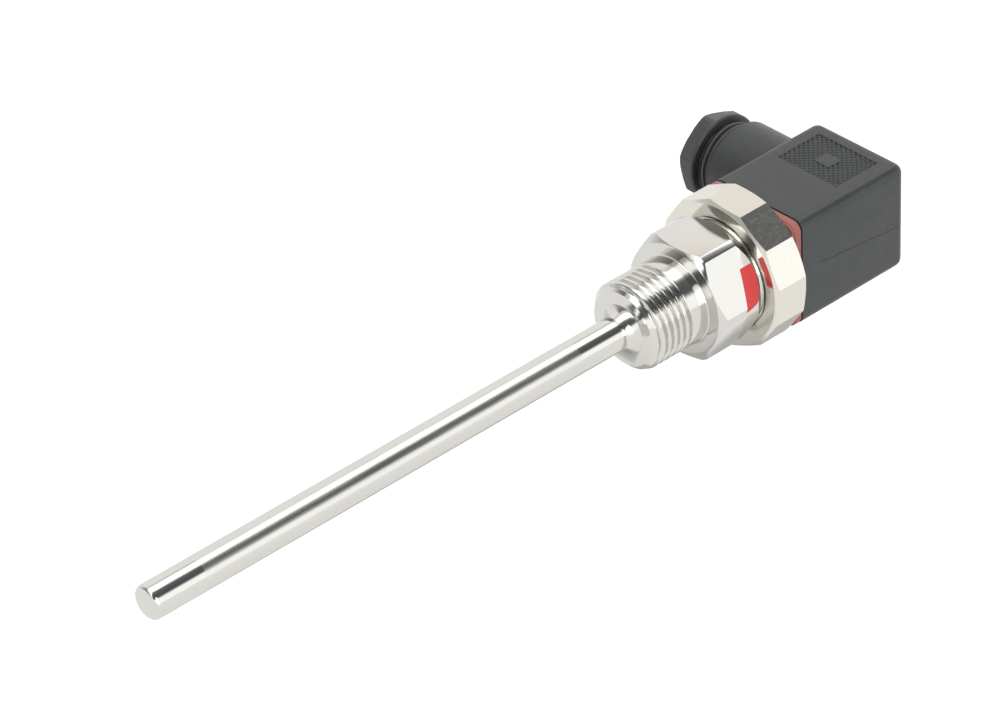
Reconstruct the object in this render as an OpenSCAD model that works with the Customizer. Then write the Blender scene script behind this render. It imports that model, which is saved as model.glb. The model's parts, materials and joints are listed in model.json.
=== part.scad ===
/* [Protection tube] */
// Length from the collar face to the closed tip
insertion_len = 150; // [60:1:400]
// Outside diameter of the protection tube
tube_d = 8; // [7:0.5:11]
// Wall of the protection tube
tube_wall = 0.75; // [0.5:0.05:1]
// Thickness of the closed tip
tip_wall = 1.5; // [1:0.1:3]
// Radius of the rounded edge at the tip
tip_r = 1.1; // [0.4:0.1:2]

/* [Process fitting] */
// Major diameter of the process thread, G 1/2 A
thread_d = 20.955; // [20.955:0.001:26.441]
// Length of the full thread
thread_len = 9.3; // [7:0.1:14]
// Length of the 45 degree chamfer that starts the thread
thread_lead = 1.6; // [1:0.1:2]
// Length of the relief groove behind the thread
relief_len = 4.9; // [3:0.1:7]
// Radial depth of the relief groove
relief_depth = 1.2; // [0.6:0.1:1.8]
// Radius of the fillet between the relief groove and the collar face
relief_fillet = 0.9; // [0.3:0.1:1.5]
// Leg of the flared weld where the tube enters the fitting
weld_leg = 1.9; // [1:0.1:3]
// Depth of the tube's seat, measured from the front face
tube_seat_len = 8; // [4:0.5:12]
// Width across the flats of the fitting's hexagon
fitting_af = 27; // [26:1:36]
// Length of the hexagon
fitting_hex_len = 13; // [10:0.5:18]
// Diameter of the turned face in front of the hexagon
collar_d = 26; // [24:0.5:30]
// Width of the shallow cove turned into the collar face
cove_w = 1.6; // [1:0.1:1.8]
// Depth of the cove
cove_depth = 0.3; // [0.1:0.05:0.5]
// Radius that the corners of the hexagon are turned to
fitting_corner_r = 15.1; // [14.2:0.1:18]

/* [Measuring insert] */
// Wall of the insert tube
insert_wall = 0.5; // [0.3:0.05:0.8]
// Radial gap between the insert and the protection tube
insert_gap = 0.25; // [0.1:0.05:0.4]
// Diameter of the ceramic sensing element
element_d = 2.8; // [1.6:0.1:3]
// Length of the ceramic sensing element
element_len = 15; // [8:1:25]
// Diameter of each lead wire
wire_d = 0.5; // [0.3:0.05:0.6]
// Distance of the insulator's bores from the axis
wire_ring_r = 1.1; // [0.8:0.05:1.2]

/* [Union nut and connector base] */
// Major diameter of the rear thread that the union nut screws on
spigot_d = 25; // [24.6:0.1:26]
// Length of the rear thread
spigot_len = 7; // [5:0.5:10]
// Width across the flats of the twelve-sided union nut
nut_af = 35; // [33:1:41]
// Gap between the hexagon and the union nut
nut_gap = 0.8; // [0.4:0.1:2]
// Angle that the tightened union nut came to rest at
nut_turn = 19.5; // [0:0.5:30]
// Thickness of the connector base's flange
base_flange = 1.6; // [1:0.1:3]
// Thickness of the union nut's rear lip
nut_lip = 1; // [0.8:0.1:2]
// Distance of each contact from the axis
pin_ring_r = 9; // [8.9:0.05:9.1]
// Width of a contact blade
pin_w = 6.3; // [4.8:0.1:6.4]
// Thickness of a contact blade
pin_t = 0.8; // [0.6:0.1:1]
// Length of a contact blade behind the connector base
pin_len = 11.5; // [8:0.5:12]

/* [Profile gasket and plug housing] */
// Thickness of the gasket between the base and the plug
gasket_t = 2.6; // [1.5:0.1:4]
// Width and height of the plug housing
housing_w = 27; // [26.4:0.2:34]
// Length of the plug housing
housing_len = 32.8; // [31:0.2:42]
// Wall of the plug housing
housing_wall = 2; // [1.6:0.1:2]
// Thickness of the plug housing's rear wall
housing_rear_wall = 4.3; // [3.8:0.1:6]
// Radius of the plug housing's outer edges
housing_edge_r = 2.4; // [1:0.1:3]
// Length of the textured grip field
field_len = 13.2; // [8:0.1:16]
// Width of the textured grip field
field_w = 17.8; // [10:0.1:20]
// Depth of the textured grip field
field_depth = 0.3; // [0.1:0.05:0.5]
// Length of the blank pad in the middle of the field
pad_l = 4.1; // [2:0.1:6]
// Width of the blank pad in the middle of the field
pad_w = 4.4; // [2:0.1:8]

/* [Cable gland] */
// Outside diameter of the plug's neck
neck_d = 21.6; // [21.2:0.2:25]
// Reach of the neck from the probe's axis
neck_reach = 28.6; // [26:0.2:36]
// Major diameter of the gland thread
gland_thread_d = 18.2; // [17:0.1:18.8]
// Thread left showing between the neck and the gland screw's head
gland_exposed = 3.8; // [0.5:0.1:5]
// Length of the gland screw's thread
gland_thread_len = 7.2; // [6:0.1:9]
// Width across the flats of the gland screw's head
gland_af = 18.4; // [18.2:0.1:24]
// Thickness of the gland screw's head with its collar
gland_head = 4.6; // [3:0.1:7]
// Thickness of the round collar under the gland screw's hexagon
gland_collar = 1; // [0.6:0.1:1.4]
// Angle that the gland screw came to rest at
gland_turn = 18; // [0:1:60]
// Bore of the gland screw for the cable
cable_bore_d = 10.4; // [6:0.1:11]
// Bore of the relaxed cable seal
seal_bore_d = 8; // [4:0.1:9]

/* [Fixing screw and terminals] */
// Thread diameter of the fixing screw
screw_d = 3; // [2.5:0.1:3.5]
// Head diameter of the fixing screw
screw_head_d = 5.6; // [5.4:0.1:6]
// Head height of the fixing screw
screw_head_h = 2.4; // [1.6:0.1:2.8]
// Thread diameter of a terminal screw
terminal_screw_d = 2.5; // [2:0.1:3]

/* [Hidden] */

steel = "#c9c8c4";
nickel = "#d8d2c4";
brass = "#c8a85a";
black_plastic = "#4d4f51";
grey_plastic = "#3c3e40";
ceramic = "#efe9da";
silicone = "#b9504a";
rubber = "#2b2b2c";
copper = "#b87b50";
epoxy = "#5f5a4e";

round_fn = 72;
small_fn = 32;
arc_steps = 6;
eps = 0.01;
fit = 0.02;
run_fit = 0.05;
hex_chamfer = 30;
quarter = 90;

// Places along the probe's axis, X, from the collar face at zero
tube_r = tube_d / 2;
bore_r = tube_r - tube_wall;
tip_x = -insertion_len;
tip_floor_x = tip_x + tip_wall;
thread_r = thread_d / 2;
thread_end_x = -relief_len;
thread_start_x = thread_end_x - thread_len;
fitting_front_x = thread_start_x - thread_lead;
tube_end_x = fitting_front_x + tube_seat_len;
weld_front_x = fitting_front_x - weld_leg * 1.5;
relief_r = thread_r - relief_depth;
collar_r = collar_d / 2;
collar_land = 0.2;
cove_r = (cove_w * cove_w / 4 + cove_depth * cove_depth) / (2 * cove_depth);
hex_end_x = fitting_hex_len;
rim_r = fitting_af / 2;
spigot_r = spigot_d / 2;
spigot_end_x = hex_end_x + spigot_len;
spigot_relief = 0.6;
spigot_relief_len = 1.4;

// Contacts, and the cavity that they stand in
pin_corner_r = norm([pin_ring_r + pin_t / 2, pin_w / 2]);
boss_r = pin_corner_r + 0.7;
cavity_r = boss_r + 0.15;
cavity_floor_x = hex_end_x - 7;
bush_t = 3;
potting_t = 4.5;
bush_end_x = cavity_floor_x + bush_t;
potting_end_x = bush_end_x + potting_t;
tail_front_x = potting_end_x + 0.4;
tail_w = 2.6;
tail_len = 3.2;
blade_start_x = tail_front_x + tail_len;

// Measuring insert
insert_r = bore_r - insert_gap;
insert_in_r = insert_r - insert_wall;
insert_tip_x = tip_floor_x + run_fit;
insert_floor_x = insert_tip_x + 0.7;
element_x = insert_floor_x + 1.2;
element_end_x = element_x + element_len;
rod_start_x = element_end_x + 2;
rod_gap = 0.15;
rod_r = insert_in_r - rod_gap;
seal_start_x = bush_end_x - 2.5;
wire_r = wire_d / 2;
wire_bore_r = wire_r + 0.12;
wire_turn_x = bush_end_x + 1;
wire_top_x = tail_front_x + 0.5;
wire_bead = 0.03;
wire_top_r = pin_ring_r - pin_t / 2 - wire_r - 2 * wire_bead;
wire_angles = [0, 180, 270];

// Union nut and connector base
nut_front_x = hex_end_x + nut_gap;
base_seal_t = 0.8;
flange_x = spigot_end_x + base_seal_t;
flange_end_x = flange_x + base_flange;
nut_end_x = flange_end_x + nut_lip;
flange_r = spigot_r - 0.2;
base_neck_r = boss_r + 0.35;
nut_corner_r = nut_af / 2 / cos(15);
nut_face_r = nut_af / 2 - 2;
nut_rear_r = nut_af / 2 - 1;
nut_front_chamfer = 20;
boss_front_x = blade_start_x - 0.6;
insert_od = 5;
centre_insert_x = boss_front_x - 2;
centre_insert_end_x = nut_end_x - 0.3;
centre_boss_r = insert_od / 2 + 1.6;
blade_end_x = nut_end_x + pin_len;
blade_lead = 1.2;
pin_angles = [0, 180, 270, 90];

// Plug
gasket_x = nut_end_x;
housing_x = gasket_x + gasket_t;
housing_end_x = housing_x + housing_len;
housing_h = housing_w / 2;
cavity_h = housing_h - housing_wall;
cavity_end_x = housing_end_x - housing_rear_wall;
cavity_corner_r = 1.5;
carrier_gap = 0.15;
carrier_h = cavity_h - carrier_gap;
contact_t = 2;
contact_w = 7.5;
pocket_gap = 0.1;
nose_wall = 0.55;
nose_bevel = 0.4;
nose_h = pin_ring_r + contact_t / 2 + pocket_gap + nose_wall;
carrier_front_x = nut_end_x + 0.2;
carrier_len = 17;
carrier_end_x = housing_x + carrier_len;
gasket_h = housing_h;
gasket_corner_r = 2.6;
gasket_edge = 0.4;
gasket_hole_h = nose_h + carrier_gap;

contact_x = carrier_front_x + 0.8;
contact_len = 12;
terminal_x = contact_x + contact_len;
terminal_len = 5;
terminal_w = 6.4;
terminal_t = 4.4;
terminal_ring_r = 8;
slot_gap = 0.06;
slot_lead = 0.5;
terminal_head_r = terminal_screw_d / 2 + 1;
terminal_head_h = 1.8;
wire_hole_r = 0.95;
wire_hole_x = terminal_x + 2;
wire_channel_w = terminal_w + 5;
column_r = screw_d / 2 + 1.9;
column_x = carrier_end_x + 0.2;
latch_x = housing_x + 4;
latch_len = 2;
latch_w = 7;
latch_h = 0.4;
stop_w = 2.6;
stop_gap = 0.1;

// Fixing screw
head_recess_x = cavity_end_x + 0.8;
head_r = screw_head_d / 2;
recess_r = head_r + 0.6;
screw_seal_t = 0.7;
head_x = head_recess_x + screw_seal_t;
screw_grip = 4.6;
screw_tip_x = centre_insert_end_x - screw_grip;
screw_r = screw_d / 2;
screw_hole_r = screw_r + 0.2;
driver_slot_w = 0.9;
driver_slot_depth = 1.2;

// Cable gland, along Y
neck_x = housing_x + 22;
neck_r = neck_d / 2;
rim_chamfer = 1.1;
rim_chamfer_len = 1.5;
gland_r = gland_thread_d / 2;
gland_bore_r = gland_r + run_fit;
gland_head_y = neck_reach + gland_exposed;
gland_end_y = gland_head_y + gland_head;
gland_tip_y = gland_head_y - gland_thread_len;
washer_t = 0.8;
washer_y = gland_tip_y - washer_t;
seal_len = 6;
seal_y = washer_y - seal_len;
seal_r = gland_r - 0.2;
passage_r = seal_bore_d / 2 + 1.4;
cable_bore_r = cable_bore_d / 2;
gland_corner_r = gland_af / 2 + 1.15;
gland_chamfer = 0.5;

// Points of a circular arc in the plane of a profile
function arc(cx, cy, r, a0, a1, n = arc_steps) =
  [for (i = [0 : n]) let (a = a0 + (a1 - a0) * i / n) [cx + r * cos(a), cy + r * sin(a)]];

// A turned piece about the probe's axis, from a profile of [radius, place] points
module turned(points, fn = round_fn) {
  rotate([0, 90, 0]) rotate_extrude($fn = fn) polygon(points);
}

// A turned piece about the gland's axis
module turned_y(points, fn = round_fn) {
  translate([neck_x, 0, 0]) rotate([-90, 0, 0]) rotate_extrude($fn = fn) polygon(points);
}

// A plain ring between two places on the probe's axis
module ring(r_out, r_in, x0, x1, fn = round_fn) {
  turned([[r_in, x0], [r_out, x0], [r_out, x1], [r_in, x1]], fn);
}

// A rod along X, from x0 to x1
module rod(r, x0, x1, fn = small_fn) {
  translate([x0, 0, 0]) rotate([0, 90, 0]) cylinder(r = r, h = x1 - x0, $fn = fn);
}

// A prism with flats along the probe's axis
module flats(af, sides, turn, x0, x1) {
  translate([x0, 0, 0])
    rotate([0, 90, 0])
      linear_extrude(x1 - x0)
        rotate(turn) circle(r = af / 2 / cos(180 / sides), $fn = sides);
}

// A rectangle with round corners
module round_rect(w, h, r) {
  square([w - 2 * r, h], center = true);
  square([w, h - 2 * r], center = true);
  for (sx = [-1, 1], sy = [-1, 1])
    translate([sx * (w / 2 - r), sy * (h / 2 - r)]) circle(r = r, $fn = small_fn);
}

// A square bar with round edges along X
module round_bar(h, r, x0, x1) {
  translate([x0, 0, 0])
    rotate([0, 90, 0])
      linear_extrude(x1 - x0) round_rect(2 * h, 2 * h, r);
}

// A block along X that stands off the axis, before it is turned to its contact's angle
module off_block(x0, x1, w, t, r_mid) {
  translate([x0, -w / 2, r_mid - t / 2]) cube([x1 - x0, w, t]);
}

// Turns its children to a place round the probe's axis
module around(angle) {
  rotate([angle, 0, 0]) children();
}

module protection_tube() {
  color(steel)
    turned(concat(
      [[0, tip_x]],
      arc(tube_r - tip_r, tip_x + tip_r, tip_r, -90, 0),
      [[tube_r, tube_end_x], [bore_r, tube_end_x], [bore_r, tip_floor_x], [0, tip_floor_x]]
    ));
}

// Thread, relief groove and collar of the process fitting, with the flared weld in front
module fitting_stud() {
  weld_r = tube_r + weld_leg;
  turned(concat(
    [[0, weld_front_x], [tube_r + 0.1, weld_front_x]],
    [for (i = [1 : arc_steps]) let (t = i / arc_steps)
      [tube_r + 0.1 + (weld_leg - 0.1) * t * t, weld_front_x + (fitting_front_x - weld_front_x) * t]],
    [
      [thread_r - thread_lead, fitting_front_x],
      [thread_r, thread_start_x],
      [thread_r, thread_end_x],
      [relief_r, thread_end_x + relief_depth]
    ],
    arc(relief_r + relief_fillet, -relief_fillet, relief_fillet, 180, 90),
    [[collar_r - 1, 0], [collar_r - 1, 1], [0, 1]]
  ));
}

// Hexagon of the process fitting, turned conical at both ends
module fitting_hexagon() {
  front_cone = (fitting_corner_r - collar_r) * tan(hex_chamfer);
  rear_cone = (fitting_corner_r - rim_r) * 1.55;
  intersection() {
    flats(fitting_af, 6, 30, 0, hex_end_x);
    turned([
      [0, 0],
      [collar_r, 0],
      [fitting_corner_r, front_cone],
      [fitting_corner_r, hex_end_x - rear_cone],
      [rim_r - 0.1, hex_end_x],
      [0, hex_end_x]
    ]);
  }
}

module collar_cove() {
  rotate([0, 90, 0])
    rotate_extrude($fn = round_fn)
      translate([collar_r - collar_land - cove_w / 2, cove_depth - cove_r])
        circle(r = cove_r, $fn = small_fn);
}
module process_fitting() {
  color(steel)
    difference() {
      union() {
        fitting_stud();
        fitting_hexagon();
        turned([
          [0, hex_end_x - 1],
          [spigot_r - spigot_relief, hex_end_x - 1],
          [spigot_r - spigot_relief, hex_end_x + spigot_relief_len],
          [spigot_r, hex_end_x + spigot_relief_len + spigot_relief],
          [spigot_r, spigot_end_x],
          [0, spigot_end_x]
        ]);
      }
      rod(tube_r + fit, weld_front_x - 1, tube_end_x + fit, round_fn);
      rod(bore_r, tube_end_x - 1, cavity_floor_x + 1, round_fn);
      rod(cavity_r, cavity_floor_x, spigot_end_x + 1, round_fn);
      collar_cove();
    }
}

module insert_tube() {
  color(steel)
    turned([
      [0, insert_tip_x],
      [insert_r - 0.4, insert_tip_x],
      [insert_r, insert_tip_x + 0.4],
      [insert_r, bush_end_x],
      [insert_in_r, bush_end_x],
      [insert_in_r, insert_floor_x],
      [0, insert_floor_x]
    ]);
}

module insert_bush() {
  color(brass)
    ring(cavity_r - 0.1, insert_r + fit, cavity_floor_x, bush_end_x);
}

// Straight bores for the lead wires, at the contacts' angles
module wire_bores(r, x0, x1) {
  for (a = pin_angles)
    around(a) translate([0, 0, wire_ring_r]) rod(r, x0, x1, small_fn);
}

module insert_seal() {
  color(epoxy)
    difference() {
      rod(insert_in_r - fit, seal_start_x, bush_end_x, round_fn);
      for (a = wire_angles)
        around(a) translate([0, 0, wire_ring_r]) rod(wire_r + fit, seal_start_x - 1, bush_end_x + 1);
    }
}

module sensing_element() {
  color(ceramic)
    rod(element_d / 2, element_x, element_end_x);
}

module tip_filler() {
  color(ceramic)
    difference() {
      rod(insert_in_r - fit, insert_floor_x + fit, element_end_x, round_fn);
      rod(element_d / 2 + fit, element_x - fit, element_end_x + 1);
    }
}

module insulator_rod() {
  color(ceramic)
    difference() {
      rod(rod_r, rod_start_x, seal_start_x - fit, round_fn);
      wire_bores(wire_bore_r, rod_start_x - 1, seal_start_x + 1);
    }
}

// Path of one lead wire: straight through the insulator, then out to its contact
module wire_path(r, x_end) {
  run = wire_top_x - wire_turn_x;
  rise = wire_top_r - wire_ring_r;
  translate([0, 0, wire_ring_r]) rod(r, element_end_x, wire_turn_x);
  translate([wire_turn_x, 0, wire_ring_r]) sphere(r = r + wire_bead, $fn = small_fn);
  translate([wire_turn_x, 0, wire_ring_r])
    rotate([0, atan2(run, rise), 0])
      cylinder(r = r, h = norm([run, rise]), $fn = small_fn);
  translate([wire_top_x, 0, wire_top_r]) sphere(r = r + wire_bead, $fn = small_fn);
  translate([0, 0, wire_top_r]) rod(r, wire_top_x, x_end);
}

module lead_wire(i) {
  color(copper)
    around(wire_angles[i]) wire_path(wire_r, tail_front_x + tail_len - 0.6);
}

module cavity_potting() {
  color(epoxy)
    difference() {
      rod(cavity_r - fit, bush_end_x + fit, potting_end_x, round_fn);
      for (a = wire_angles)
        around(a) wire_path(wire_r + fit, tail_front_x + tail_len);
    }
}

module base_seal() {
  color(rubber)
    ring(flange_r, cavity_r + 0.1, spigot_end_x, flange_x);
}

module union_nut() {
  front_cone = (nut_corner_r - nut_face_r) * tan(nut_front_chamfer);
  rear_cone = (nut_corner_r - nut_rear_r) * tan(hex_chamfer);
  color(nickel)
    difference() {
      intersection() {
        flats(nut_af, 12, nut_turn, nut_front_x, nut_end_x);
        turned([
          [0, nut_front_x],
          [nut_face_r, nut_front_x],
          [nut_corner_r, nut_front_x + front_cone],
          [nut_corner_r, nut_end_x - rear_cone],
          [nut_rear_r, nut_end_x],
          [0, nut_end_x]
        ]);
      }
      rod(spigot_r + run_fit, nut_front_x - 1, flange_end_x, round_fn);
      rod(base_neck_r + 0.15, flange_end_x - 1, nut_end_x + 1, round_fn);
      turned([
        [0, nut_front_x - 1],
        [spigot_r + 1.1, nut_front_x - 1],
        [spigot_r + 1.1, nut_front_x],
        [spigot_r, nut_front_x + 1.1],
        [0, nut_front_x + 1.1]
      ]);
    }
}

module connector_base() {
  color(black_plastic)
    difference() {
      union() {
        rod(boss_r, boss_front_x, flange_end_x, round_fn);
        rod(flange_r, flange_x, flange_end_x, round_fn);
        rod(base_neck_r, flange_end_x - 1, nut_end_x, round_fn);
        rod(centre_boss_r, centre_insert_x - 0.8, boss_front_x + 1, round_fn);
      }
      rod(insert_od / 2 + fit, centre_insert_x - fit, nut_end_x + 1, round_fn);
      for (a = pin_angles)
        around(a)
          off_block(boss_front_x - 1, nut_end_x + 1, pin_w + 2 * fit, pin_t + 2 * fit, pin_ring_r);
    }
}

module centre_insert() {
  color(brass)
    ring(insert_od / 2, screw_r + run_fit, centre_insert_x, centre_insert_end_x, small_fn);
}

// One flat contact: solder tail with its hole, then the blade with a tapered end
module contact_blade(angle) {
  color(nickel)
    around(angle)
      difference() {
        union() {
          off_block(tail_front_x, blade_start_x + 1, tail_w, pin_t, pin_ring_r);
          translate([0, 0, pin_ring_r - pin_t / 2])
            linear_extrude(pin_t)
              polygon([
                [blade_start_x, -pin_w / 2],
                [blade_end_x - blade_lead, -pin_w / 2],
                [blade_end_x, -pin_w / 2 + blade_lead],
                [blade_end_x, pin_w / 2 - blade_lead],
                [blade_end_x - blade_lead, pin_w / 2],
                [blade_start_x, pin_w / 2]
              ]);
        }
        translate([tail_front_x + 0.9, 0.8, pin_ring_r])
          cylinder(r = 0.35, h = 2 * pin_t, center = true, $fn = small_fn);
      }
}

module profile_gasket() {
  color(silicone)
    difference() {
      union() {
        round_bar(gasket_h - gasket_edge, gasket_corner_r - gasket_edge, gasket_x, housing_x);
        round_bar(gasket_h, gasket_corner_r, gasket_x + gasket_edge, housing_x - gasket_edge);
      }
      round_bar(gasket_hole_h, cavity_corner_r, gasket_x - 1, housing_x + 1);
    }
}

// Outer block of the plug housing, round on its long edges and on the four edges at the rear
module housing_block() {
  depth = 2 * housing_w;
  mid_x = (housing_x + housing_end_x) / 2;
  intersection() {
    round_bar(housing_h, housing_edge_r, housing_x, housing_end_x);
    rear_rounded_slab(depth, mid_x);
    rotate([quarter, 0, 0]) rear_rounded_slab(depth, mid_x);
  }
}

// A slab whose two rear edges are round
module rear_rounded_slab(depth, mid_x) {
  translate([0, 0, -depth / 2])
    linear_extrude(depth)
      union() {
        translate([mid_x, 0]) round_rect(housing_len, housing_w, housing_edge_r);
        translate([housing_x, -housing_h]) square([housing_len / 2, housing_w]);
      }
}

// Ribs in the cavity's corners that stop the contact carrier
module carrier_stops() {
  length = cavity_end_x + 1 - (carrier_end_x + stop_gap);
  for (sy = [-1, 1], sz = [-1, 1])
    translate([
      carrier_end_x + stop_gap,
      sy * (cavity_h - stop_w / 2 + 0.25) - stop_w / 2,
      sz * (cavity_h - stop_w / 2 + 0.25) - stop_w / 2
    ])
      cube([length, stop_w, stop_w]);
}

// Raised blank pad in the middle of the textured field
module field_pad() {
  translate([neck_x - pad_l / 2, -pad_w / 2, housing_h - 1]) cube([pad_l, pad_w, 1]);
}

module housing_neck() {
  turned_y([
    [0, cavity_h],
    [neck_r, cavity_h],
    [neck_r, neck_reach - rim_chamfer_len],
    [neck_r - rim_chamfer, neck_reach],
    [0, neck_reach]
  ]);
}

module plug_housing() {
  color(black_plastic)
    difference() {
      union() {
        difference() {
          union() {
            housing_block();
            housing_neck();
          }
          translate([neck_x - field_len / 2, -field_w / 2, housing_h - field_depth])
            cube([field_len, field_w, 1]);
          round_bar(cavity_h, cavity_corner_r, housing_x - 1, cavity_end_x);
          latches(stop_gap);
        }
        rod(column_r, column_x, cavity_end_x + 1, round_fn);
        carrier_stops();
        field_pad();
      }
      rod(screw_hole_r, column_x - 1, head_recess_x + 1);
      rod(recess_r, head_recess_x, housing_end_x + 1, round_fn);
      turned_y([
        [0, cavity_h - 2],
        [passage_r, cavity_h - 2],
        [passage_r, seal_y],
        [gland_bore_r, seal_y],
        [gland_bore_r, neck_reach + 1],
        [0, neck_reach + 1]
      ]);
    }
}

// Pocket that holds one socket contact and its terminal
module contact_pocket() {
  off_block(
    contact_x - pocket_gap, terminal_x + pocket_gap,
    contact_w + 2 * pocket_gap, contact_t + 2 * pocket_gap, pin_ring_r
  );
  off_block(
    terminal_x - pocket_gap, carrier_end_x + 1,
    terminal_w + 2 * pocket_gap, terminal_t + 2 * pocket_gap, terminal_ring_r
  );
  off_block(carrier_front_x - 1, contact_x, pin_w + slot_lead, pin_t + slot_lead, pin_ring_r);
  off_block(wire_hole_x - wire_hole_r, carrier_end_x + 1, wire_channel_w, 2 * wire_hole_r, terminal_ring_r);
}

// Two latch noses on the carrier's sides, or with a gap, the grooves that they snap into
module latches(gap) {
  for (side = [-1, 1])
    translate([latch_x - gap, -latch_w / 2 - gap, side > 0 ? carrier_h - 1 : -carrier_h - latch_h])
      cube([latch_len + 2 * gap, latch_w + 2 * gap, latch_h + 1]);
}

module contact_carrier() {
  color(grey_plastic)
    difference() {
      union() {
        round_bar(nose_h - nose_bevel, cavity_corner_r, carrier_front_x, housing_x);
        round_bar(nose_h, cavity_corner_r, carrier_front_x + nose_bevel, housing_x + 1);
        round_bar(carrier_h, cavity_corner_r, housing_x, carrier_end_x);
        latches(0);
      }
      rod(screw_hole_r, carrier_front_x - 1, carrier_end_x + 1);
      for (a = pin_angles)
        around(a) contact_pocket();
    }
}

// One socket contact: a sleeve round the blade, and a terminal block with its screw hole and wire hole
module socket_contact(angle) {
  color(brass)
    around(angle)
      difference() {
        union() {
          off_block(contact_x, terminal_x, contact_w, contact_t, pin_ring_r);
          off_block(terminal_x, terminal_x + terminal_len, terminal_w, terminal_t, terminal_ring_r);
        }
        off_block(contact_x - 1, terminal_x - 0.5, pin_w + 2 * slot_gap, pin_t + 2 * slot_gap, pin_ring_r);
        translate([0, 0, terminal_ring_r])
          rod(terminal_screw_d / 2 + run_fit, terminal_x + 0.8, terminal_x + terminal_len + 1);
        translate([wire_hole_x, 0, terminal_ring_r])
          rotate([quarter, 0, 0])
            cylinder(r = wire_hole_r, h = 2 * terminal_w, center = true, $fn = small_fn);
      }
}

module slotted_screw(r, len, head_r, head_h, slot_w, slot_depth) {
  difference() {
    union() {
      rod(r, -len, eps);
      rod(head_r, 0, head_h);
    }
    translate([head_h - slot_depth, -head_r - 1, -slot_w / 2])
      cube([slot_depth + 1, 2 * head_r + 2, slot_w]);
  }
}

module terminal_screws() {
  color(nickel)
    for (a = pin_angles)
      around(a)
        translate([terminal_x + terminal_len, 0, terminal_ring_r])
          slotted_screw(
            terminal_screw_d / 2, terminal_len - 1, terminal_head_r, terminal_head_h, 0.6, 0.8
          );
}

module fixing_screw() {
  color(nickel)
    translate([head_x, 0, 0])
      slotted_screw(
        screw_r, head_x - screw_tip_x, head_r, screw_head_h, driver_slot_w, driver_slot_depth
      );
}

module screw_seal() {
  color(rubber)
    ring(recess_r - 0.1, screw_r + run_fit, head_recess_x, head_x, small_fn);
}

module cable_seal() {
  color(rubber)
    turned_y([
      [seal_bore_d / 2, seal_y],
      [seal_r - 0.8, seal_y],
      [seal_r, seal_y + 0.8],
      [seal_r, washer_y - 0.8],
      [seal_r - 0.8, washer_y],
      [seal_bore_d / 2, washer_y]
    ]);
}

module thrust_washer() {
  color(nickel)
    turned_y([
      [seal_bore_d / 2 + 0.4, washer_y],
      [seal_r, washer_y],
      [seal_r, gland_tip_y],
      [seal_bore_d / 2 + 0.4, gland_tip_y]
    ]);
}

// Head of the gland screw: a round collar, then a hexagon with a chamfered outer end
module gland_hexagon() {
  turned_y([
    [0, gland_head_y],
    [gland_corner_r - 0.3, gland_head_y],
    [gland_corner_r, gland_head_y + 0.3],
    [gland_corner_r, gland_head_y + gland_collar - 0.3],
    [gland_corner_r - 0.3, gland_head_y + gland_collar],
    [0, gland_head_y + gland_collar]
  ]);
  intersection() {
    translate([neck_x, gland_head_y + gland_collar / 2, 0])
      rotate([-90, 0, 0])
        linear_extrude(gland_head - gland_collar / 2)
          rotate(gland_turn) circle(r = gland_af / 2 / cos(30), $fn = 6);
    turned_y([
      [0, gland_head_y],
      [gland_corner_r, gland_head_y],
      [gland_corner_r, gland_end_y - gland_chamfer],
      [gland_corner_r - 2 * gland_chamfer, gland_end_y],
      [0, gland_end_y]
    ]);
  }
}

module gland_screw() {
  color(black_plastic)
    difference() {
      union() {
        turned_y([
          [0, gland_tip_y],
          [gland_r - 0.6, gland_tip_y],
          [gland_r, gland_tip_y + 0.6],
          [gland_r, gland_head_y + gland_collar / 2],
          [0, gland_head_y + gland_collar / 2]
        ]);
        gland_hexagon();
      }
      turned_y([
        [0, gland_tip_y - 1],
        [cable_bore_r, gland_tip_y - 1],
        [cable_bore_r, gland_end_y - 1],
        [cable_bore_r + 1, gland_end_y],
        [cable_bore_r + 1, gland_end_y + 1],
        [0, gland_end_y + 1]
      ]);
    }
}

protection_tube();
process_fitting();
insert_tube();
insert_bush();
insert_seal();
sensing_element();
tip_filler();
insulator_rod();
lead_wire(0);  // lead_wire_1
lead_wire(1);  // lead_wire_2
lead_wire(2);  // lead_wire_3
cavity_potting();
base_seal();
union_nut();
connector_base();
centre_insert();
contact_blade(pin_angles[0]);  // contact_pin_1
contact_blade(pin_angles[1]);  // contact_pin_2
contact_blade(pin_angles[2]);  // contact_pin_3
contact_blade(pin_angles[3]);  // earth_pin
profile_gasket();
plug_housing();
contact_carrier();
socket_contact(pin_angles[0]);  // socket_contact_1
socket_contact(pin_angles[1]);  // socket_contact_2
socket_contact(pin_angles[2]);  // socket_contact_3
socket_contact(pin_angles[3]);  // earth_socket_contact
terminal_screws();
fixing_screw();
screw_seal();
cable_seal();
thrust_washer();
gland_screw();
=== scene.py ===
import json
import math

import bmesh
import bpy
from mathutils import Matrix, Vector


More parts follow.
